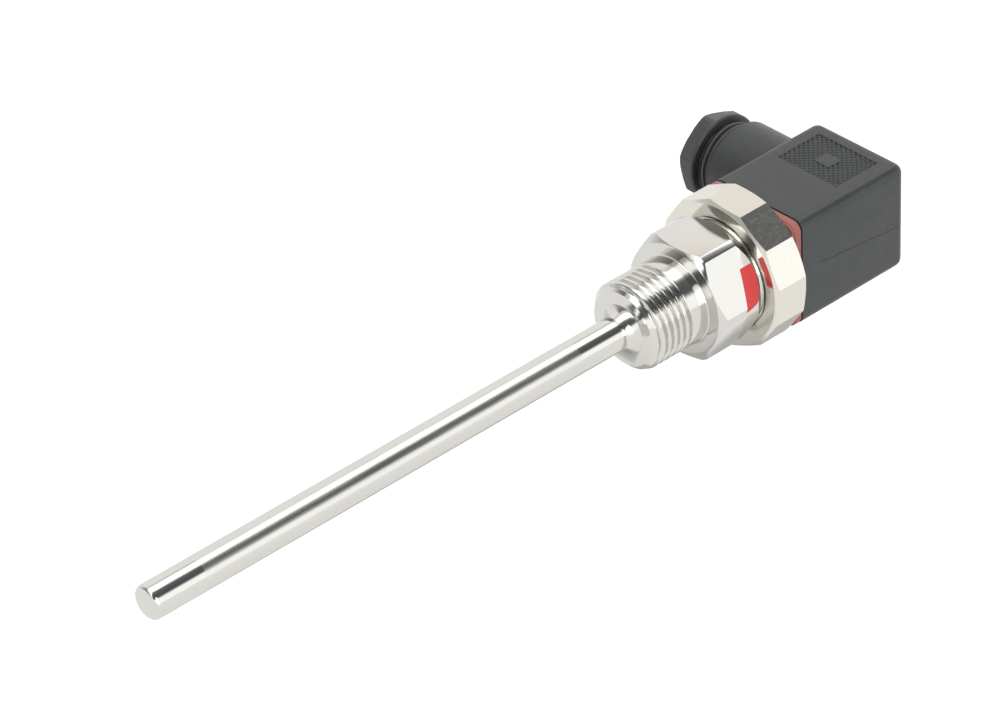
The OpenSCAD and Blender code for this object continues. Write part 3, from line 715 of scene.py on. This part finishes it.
class PROBE_OT_fitting(bpy.types.Operator):
    """Cut the process thread, finish the turned fitting with its hexagon and lay on its red marker"""

    bl_idname = "probe.fitting"
    bl_label = "Process fitting"

    def execute(self, context):
        sizes = context.scene.probe_sizes
        thread = {
            "radius": sizes.thread_radius, "depth": sizes.thread_depth, "pitch": sizes.thread_pitch,
            "reach": sizes.thread_front - sizes.thread_end, "lead": sizes.thread_lead, "end": 0.1 * MM,
            "under": 0.15 * MM, "sides": 160, "rows": 14,
        }
        start = Matrix.Translation((-sizes.thread_front, 0, 0))
        body = reshaped(joined("process_fitting"), self.front(sizes))
        threaded("process_fitting", body, start, thread, sizes.metal_edge)
        piece("red_marker", self.marker(sizes.marker_film), slot_material("marker"), "process_fitting")
        return {"FINISHED"}

    def front(self, sizes):
        """The rule for the fitting's front: a plain shank behind the thread, and a wide collar face."""
        # In the frame: the relief groove's radius and fillet, the face's rim and the hexagon's corners
        relief, old_fillet, old_rim, corner = 9.2775 * MM, 0.9 * MM, 13 * MM, 15.1 * MM
        # The hexagon's front cone ends before this x, and leans back by this angle
        cone_end, cone_angle = 1.3 * MM, math.radians(30)
        # Corners inside the first radius are the bore's, and up to the second they are the cove's
        bore, cove = relief - 0.05 * MM, old_rim - 0.1 * MM
        small = sizes.shank_fillet / old_fillet
        slope = (corner - old_rim) * math.tan(cone_angle) / (corner - sizes.face_radius)

        def rule(x, reach):
            if x < -sizes.thread_end - WELD or x > cone_end or reach < bore:
                return x, reach
            if x < -old_fillet - WELD:
                return x, sizes.shank_radius
            if reach < relief + old_fillet + WELD:
                return x * small, sizes.shank_radius + (reach - relief) * small
            if reach < cove:
                return 0, reach
            if reach < old_rim + WELD:
                return 0, sizes.face_radius
            return (reach - sizes.face_radius) * slope, reach

        return rule

    def marker(self, film):
        """A film of lacquer on the hexagon's lower front flat, which folds over the rear cone behind it."""
        # In mm, the hexagon: half its width, its turned corners, its rear end, and the cone's rim and slope
        half_flat, turned, back, cone_rim, cone_slope = 13.5, 15.1, 13, 13.4, 0.6855
        # The film: its two ends across the flat, where its back edge bends in, and its rim on the cone
        first, last, bend, bare = -1.8, 7.7, 6.3, 13.6
        # The front edge starts at this x, leans forward towards the lower corner, and curves a little
        start, lean, curl = 9.25, 1.7, 0.6
        # How far the back edge bends in, the film's least width there, and the strip along its back edge
        pull, least, strip = 3.2, 0.2, 0.1
        # On the cone the film grows narrower over this length before the bend
        narrowing = 2
        steps = 32
        across = Vector((0, -math.sin(math.radians(60)), math.cos(math.radians(60))))
        along = Vector((0, -across.z, across.y))
        shape = bmesh.new()
        rows = []
        for i in range(steps + 1):
            share = i / steps
            t = first + (last - first) * share
            reach = math.hypot(half_flat, t)
            # Past the flat the film lies on the turned corner
            out = (across * half_flat + along * t) * min(1, turned / reach)
            near = start - lean * share - curl * share**2
            bent = pull * max(0, (t - bend) / (last - bend)) ** 2
            far = max(near + least, back - (min(reach, turned) - cone_rim) / cone_slope - bent)
            points = [(near, out), (far - strip, out), (far, out)]
            if reach > bare and bent == 0:
                stop = bare + (reach - bare) * max(0, 1 - (bend - t) / narrowing) ** 2
                end = back - (stop - cone_rim) / cone_slope
                points = [(near, out), (far, out), (end, out * stop / reach)]
            ring = []
            for lift, row in ((-film, points), (film, reversed(points))):
                for x, place in row:
                    spot = Vector((x, 0, 0)) * MM + place * MM + across * lift
                    ring.append(shape.verts.new(spot))
            rows.append(ring)
        shape.faces.new(rows[0])
        shape.faces.new(rows[-1])
        for here, there in zip(rows, rows[1:]):
            for i in range(len(here)):
                j = (i + 1) % len(here)
                shape.faces.new((here[i], here[j], there[j], there[i]))
        bmesh.ops.recalc_face_normals(shape, faces=shape.faces)
        return plain(meshed(shape, "red_marker"))


class PROBE_OT_insert(bpy.types.Operator):
    """Finish the measuring insert and what is sealed inside the tube"""

    bl_idname = "probe.insert"
    bl_label = "Measuring insert"

    def execute(self, context):
        for node in (
            "insert_tube", "insert_bush", "insert_seal", "sensing_element", "tip_filler", "insulator_rod",
            "lead_wire_1", "lead_wire_2", "lead_wire_3", "cavity_potting",
        ):
            dressed(node)
        return {"FINISHED"}


class PROBE_OT_nut(bpy.types.Operator):
    """Finish the twelve-sided union nut, with its wide flat front face"""

    bl_idname = "probe.nut"
    bl_label = "Union nut"

    def execute(self, context):
        sizes = context.scene.probe_sizes
        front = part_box("union_nut")[0].x
        slope = math.tan(sizes.nut_chamfer)
        # Only what lies in front of this x and outside this radius belongs to the face's chamfer
        chamfer_end, face_rim = front + 1.5 * MM, sizes.nut_old_face - 0.05 * MM

        def wide_face(x, reach):
            """The front face's rim moves out, and the chamfer starts there."""
            if x > chamfer_end or reach < face_rim:
                return x, reach
            wider = max(reach, sizes.nut_face)
            return front + (wider - sizes.nut_face) * slope, wider

        mesh = reshaped(joined("union_nut"), wide_face)
        mesh = rounded(plain(mesh, NUT_EDGE_ANGLE), sizes.metal_edge, NUT_EDGE_ANGLE)
        finished("union_nut", mesh)
        return {"FINISHED"}


class PROBE_OT_connector(bpy.types.Operator):
    """Finish the connector base with its seal and insert, the blades, the sockets and the gasket"""

    bl_idname = "probe.connector"
    bl_label = "Connector"

    def execute(self, context):
        edge = context.scene.probe_sizes.plastic_edge
        stamped_edge = 0.06 * MM
        dressed("connector_base", edge / 2)
        dressed("base_seal")
        dressed("centre_insert")
        for node in (
            "contact_pin_1", "contact_pin_2", "contact_pin_3", "earth_pin",
            "socket_contact_1", "socket_contact_2", "socket_contact_3", "earth_socket_contact",
        ):
            dressed(node, stamped_edge)
        dressed("profile_gasket", edge)
        return {"FINISHED"}


class PROBE_OT_housing(bpy.types.Operator):
    """Finish the plug housing: ball corners, parting line and the diamonds of its grip field"""

    bl_idname = "probe.housing"
    bl_label = "Plug housing"

    def execute(self, context):
        sizes = context.scene.probe_sizes
        low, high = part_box("plug_housing")
        corner = Vector((high.x, -low.y, high.z))
        body = ball_cornered(joined("plug_housing"), corner, sizes.corner_ball)
        body = combined(body, self.parting(sizes, corner), "DIFFERENCE")
        body = rounded(plain(body), sizes.plastic_edge)
        # The field lies over the neck's axis
        neck_axis = 48 * MM
        field = self.field(sizes, (neck_axis, 0, high.z - sizes.field_depth))
        finished("plug_housing", combined(body, field, "UNION"))
        dressed("contact_carrier", sizes.plastic_edge / 2)
        return {"FINISHED"}

    def parting(self, sizes, corner):
        """A long thin cutter for the parting line, which falls slightly towards the rear."""
        half = sizes.parting_width / 2
        start, height, reach, fall = 31.5 * MM, 0.6 * MM, 26.6 * MM, math.radians(6.03)
        cutter = block((0, -MM, -half), (reach, sizes.parting_depth, half))
        place = Matrix.Translation((start, -corner.y, height)) @ Matrix.Rotation(fall, 4, "Y")
        cutter.transform(place)
        return cutter

    def field(self, sizes, centre):
        """The diamonds on the field's floor, cut to the field's outline."""
        finish = slot_material(SLOT_OF["plug_housing"])
        # The sheet is this much larger than the field
        spare = 1.1
        span = math.hypot(sizes.field_length, sizes.field_width) * spare
        cells = 2 * math.ceil(span / sizes.diamond_pitch / 2)
        # Squares of the fine grid along each cell
        squares = 8
        sheet = grown(
            diamond_tree(),
            {"Size": cells * sizes.diamond_pitch, "Pitch": sizes.diamond_pitch,
             "Height": sizes.diamond_height, "Points": squares * cells + 1, "Material": finish},
        )
        solid = carried_down(sheet, -LAP)
        # The diamonds run a little way into the field's walls
        bite = 0.02 * MM
        reach = Vector((sizes.field_length / 2 + bite, sizes.field_width / 2 + bite, MM))
        solid = combined(solid, block(-reach, reach), "INTERSECT")
        solid.transform(Matrix.Translation(centre))
        return solid


class PROBE_OT_screws(bpy.types.Operator):
    """Thread the fixing screw, and finish its seal and the terminal screws"""

    bl_idname = "probe.screws"
    bl_label = "Screws"

    def execute(self, context):
        sizes = context.scene.probe_sizes
        thread = {
            "radius": sizes.screw_radius, "depth": sizes.screw_depth, "pitch": sizes.screw_pitch,
            "reach": sizes.screw_threaded, "lead": sizes.screw_lead, "end": sizes.screw_depth,
            "under": 0.15 * MM, "sides": 40, "rows": 10,
        }
        start = Matrix.Translation((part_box("fixing_screw")[0].x, 0, 0))
        threaded("fixing_screw", joined("fixing_screw"), start, thread, sizes.metal_edge)
        dressed("screw_seal")
        dressed("terminal_screws")
        return {"FINISHED"}


class PROBE_OT_gland(bpy.types.Operator):
    """Cut the gland thread and finish the gland screw, its washer and its seal"""

    bl_idname = "probe.gland"
    bl_label = "Cable gland"

    def execute(self, context):
        sizes = context.scene.probe_sizes
        thread = {
            "radius": sizes.gland_radius, "depth": sizes.gland_depth, "pitch": sizes.gland_pitch,
            "reach": sizes.gland_threaded, "lead": 0.6 * MM, "end": 0.85 * MM,
            "under": 0.3 * MM, "sides": 128, "rows": 14,
        }
        # The gland's axis is +Y, through the middle of its own box
        low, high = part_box("gland_screw")
        start = Matrix.Translation(((low.x + high.x) / 2, low.y, 0)) @ Matrix.Rotation(math.pi / 2, 4, "Z")
        threaded("gland_screw", joined("gland_screw"), start, thread, sizes.plastic_edge)
        dressed("thrust_washer")
        dressed("cable_seal")
        return {"FINISHED"}


class PROBE_OT_stage(bpy.types.Operator):
    """Set up the floor, the light tent, the lamp and the camera"""

    bl_idname = "probe.stage"
    bl_label = "Studio"

    def execute(self, context):
        stage = context.scene.probe_stage
        context.scene.view_settings.view_transform = "Standard"
        self.floor(stage)
        self.tent(context.scene)
        self.lamp()
        self.camera(stage)
        return {"FINISHED"}

    def floor(self, stage):
        """A pale floor that keeps the shadow and is white to the eye and in reflections."""
        shape = bmesh.new()
        bmesh.ops.create_grid(shape, x_segments=1, y_segments=1, size=stage.floor_size / 2)
        bmesh.ops.translate(shape, verts=shape.verts, vec=(0, 0, -stage.floor_drop))
        mesh = meshed(shape, "floor")
        floor = shown("floor", mesh)
        # Pale matt paper: it takes the shadow, and a glow lifts it to white
        material = bpy.data.materials.new("pale_paper")
        material.use_nodes = True
        tree = material.node_tree
        tree.nodes.clear()
        paper = add(tree, "ShaderNodeBsdfDiffuse", {"Color": linear(0xB6B5B3)})
        level = self.whiteness(tree, stage)
        glow = add(tree, "ShaderNodeEmission", {"Color": (1, 1, 1, 1)}, {"Strength": level})
        both = add(tree, "ShaderNodeAddShader", links={0: paper.outputs[0], 1: glow.outputs[0]})
        add(tree, "ShaderNodeOutputMaterial", links={"Surface": both.outputs[0]})
        mesh.materials.append(material)

    def whiteness(self, tree, stage):
        """How strongly the floor glows: white to the eye, and with the soft shadow in gloss and glass."""
        path = add(tree, "ShaderNodeLightPath").outputs
        place = add(tree, "ShaderNodeTexCoord").outputs["Object"]
        # The soft shadow is an oval 0.3 by 0.12 m, which falls beside the head towards +Y
        middle, half_axes = (0.04, 0.075, -stage.floor_drop), (0.15, 0.06, 1)
        oval = add(
            tree,
            "ShaderNodeMapping",
            {"vector_type": "TEXTURE", "Location": middle, "Scale": half_axes},
            {"Vector": place},
        )
        far = add(tree, "ShaderNodeVectorMath", {"operation": "LENGTH"}, {0: oval.outputs[0]})
        # Its edge is soft between these two ovals, and reflections show it from nearly black to grey
        inner, outer, dark, light = 0.95, 1.4, 0.02, 0.54
        shade = add(
            tree,
            "ShaderNodeMapRange",
            {"interpolation_type": "SMOOTHSTEP", "From Min": inner, "From Max": outer, "To Min": dark,
             "To Max": light},
            {"Value": far.outputs["Value"]},
        )
        seen = add(
            tree, "ShaderNodeMath", {"operation": "MAXIMUM"},
            {0: path["Is Glossy Ray"], 1: path["Is Transmission Ray"]},
        )
        shine = add(
            tree, "ShaderNodeMath", {"operation": "MULTIPLY"}, {0: seen.outputs[0], 1: shade.outputs[0]}
        )
        to_eye = 0.7
        return add(
            tree, "ShaderNodeMath", {"operation": "MULTIPLY_ADD", 1: to_eye},
            {0: path["Is Camera Ray"], 2: shine.outputs[0]},
        ).outputs[0]

    def fill(self, ramp, stops):
        """Sets a colour ramp that goes once round, to these places in degrees and these colours."""
        while len(ramp.elements) > 1:
            ramp.elements.remove(ramp.elements[-1])
        for i, (degrees, shade) in enumerate(stops):
            place = (degrees + 180) / 360
            stop = ramp.elements[0] if i == 0 else ramp.elements.new(place)
            stop.position = place
            stop.color = shade

    def tent(self, scene):
        """A light tent of long strips beside the probe: bright cloths with a dark gap between them."""
        world = bpy.data.worlds.new("light_tent")
        scene.world = world
        world.use_nodes = True
        tree = world.node_tree
        tree.nodes.clear()
        place = add(tree, "ShaderNodeTexCoord").outputs["Generated"]
        split = add(tree, "ShaderNodeSeparateXYZ", links={0: place})
        side = add(tree, "ShaderNodeMath", {"operation": "MULTIPLY", 1: -1.0}, {0: split.outputs["Y"]})
        round_x = add(
            tree, "ShaderNodeMath", {"operation": "ARCTAN2"}, {0: side.outputs[0], 1: split.outputs["Z"]}
        )
        share = add(
            tree, "ShaderNodeMapRange", {"From Min": -math.pi, "From Max": math.pi},
            {"Value": round_x.outputs[0]},
        )
        cloths = add(tree, "ShaderNodeValToRGB", links={0: share.outputs[0]})
        # Degrees from straight up towards -Y, how bright the tent is there, and how warm
        strips = (
            (-180, 1.0, 0.01), (-125, 1.35, 0), (-100, 0.98, 0), (-50, 1.12, 0), (-42, 1.1, 0.05),
            (-36, 1.02, 0.05), (-31, 0.72, 0.01), (-27, 0.8, 0), (-20, 2.1, 0), (5, 2.1, 0),
            (11, 0.5, 0), (18, 0.16, -0.04), (34, 0.12, -0.04), (48, 0.12, 0), (54, 0.55, 0),
            (60, 1.42, 0), (85, 1.42, 0), (93, 1.02, 0.02),
        )
        self.fill(cloths.color_ramp, [(a, (v * (1 + w), v, v * (1 - w), 1)) for a, v, w in strips])
        # Behind the tip the far side is in shade: degrees, and the share of the light that is left
        shades = ((-125, 1), (-100, 0.8), (-55, 0.3), (-40, 0.14), (-36, 0.9), (-34, 1))
        behind = add(tree, "ShaderNodeValToRGB", links={0: share.outputs[0]})
        self.fill(behind.color_ramp, [(a, (v, v, v, 1)) for a, v in shades])
        # How far a direction leans towards the tip where that shade begins, and where it is full
        begins, full = -0.3, -0.48
        forward = add(
            tree, "ShaderNodeMapRange", {"From Min": begins, "From Max": full},
            {"Value": split.outputs["X"]},
        )
        # Sockets 6 and 7 are the two colours that it mixes, and socket 2 is the mixed colour
        shaded = add(
            tree, "ShaderNodeMix", {"data_type": "RGBA", "blend_type": "MULTIPLY"},
            {"Factor": forward.outputs[0], 6: cloths.outputs[0], 7: behind.outputs[0]},
        )
        light = add(tree, "ShaderNodeBackground", {"Strength": 1.0}, {"Color": shaded.outputs[2]})
        white = add(tree, "ShaderNodeBackground", {"Color": (1, 1, 1, 1), "Strength": 1.0})
        eye = add(tree, "ShaderNodeLightPath").outputs["Is Camera Ray"]
        both = add(tree, "ShaderNodeMixShader", links={0: eye, 1: light.outputs[0], 2: white.outputs[0]})
        add(tree, "ShaderNodeOutputWorld", links={"Surface": both.outputs[0]})

    def lamp(self):
        """One soft key lamp from the near side, low enough to stay out of the tent's dark gap."""
        lamp = bpy.data.lights.new("key", "AREA")
        lamp.shape = "SQUARE"
        lamp.size = 1.2
        lamp.energy = 7
        # It looks at the origin from here
        spot = Vector((-0.5, -1.4, 0.6))
        aim = spot.to_track_quat("Z", "Y").to_matrix().to_4x4()
        shown("key", lamp).matrix_world = Matrix.Translation(spot) @ aim

    def camera(self, stage):
        """The camera, set by its angles and its steps from the sealing face."""
        a, e = stage.azimuth, stage.elevation
        back = Vector((math.sin(a) * math.cos(e), -math.cos(a) * math.cos(e), math.sin(e)))
        right = Vector((0, 0, 1)).cross(back).normalized()
        up = back.cross(right)
        turn = Matrix.Rotation(stage.roll, 3, back)
        right, up = turn @ right, turn @ up
        lens = bpy.data.cameras.new("camera")
        lens.lens = stage.lens
        lens.clip_start = 0.05
        lens.clip_end = 20
        camera = shown("camera", lens)
        spot = back * stage.distance - right * stage.side_step - up * stage.down_step
        camera.matrix_world = Matrix.Translation(spot) @ Matrix((right, up, back)).transposed().to_4x4()
        bpy.context.scene.camera = camera


# ---------------------------------------------------------------- panel and run

OPERATORS = (
    PROBE_OT_tube, PROBE_OT_fitting, PROBE_OT_insert, PROBE_OT_nut, PROBE_OT_connector,
    PROBE_OT_housing, PROBE_OT_screws, PROBE_OT_gland, PROBE_OT_stage,
)


class PROBE_PT_panel(bpy.types.Panel):
    """The probe's pieces and settings"""

    bl_idname = "PROBE_PT_panel"
    bl_label = "RTD Probe"
    bl_space_type = "VIEW_3D"
    bl_region_type = "UI"
    bl_category = "RTD Probe"

    def draw(self, context):
        for operator in OPERATORS:
            self.layout.operator(operator.bl_idname)
        for group in (context.scene.probe_sizes, context.scene.probe_colours, context.scene.probe_stage):
            box = self.layout.box()
            for name in group.bl_rna.properties.keys():
                if name not in ("rna_type", "name"):
                    box.prop(group, name)


CLASSES = (ProbeSizes, ProbeColours, ProbeStage, *OPERATORS, PROBE_PT_panel)


def register():
    for kind in CLASSES:
        bpy.utils.register_class(kind)
    bpy.types.Scene.probe_sizes = bpy.props.PointerProperty(type=ProbeSizes)
    bpy.types.Scene.probe_colours = bpy.props.PointerProperty(type=ProbeColours)
    bpy.types.Scene.probe_stage = bpy.props.PointerProperty(type=ProbeStage)


def unregister():
    for name in ("probe_stage", "probe_colours", "probe_sizes"):
        delattr(bpy.types.Scene, name)
    for kind in reversed(CLASSES):
        bpy.utils.unregister_class(kind)


def main():
    """Finish every piece, then set the stage."""
    register()
    for operator in OPERATORS:
        getattr(bpy.ops.probe, operator.bl_idname.split(".")[1])()


if __name__ == "__main__":
    main()
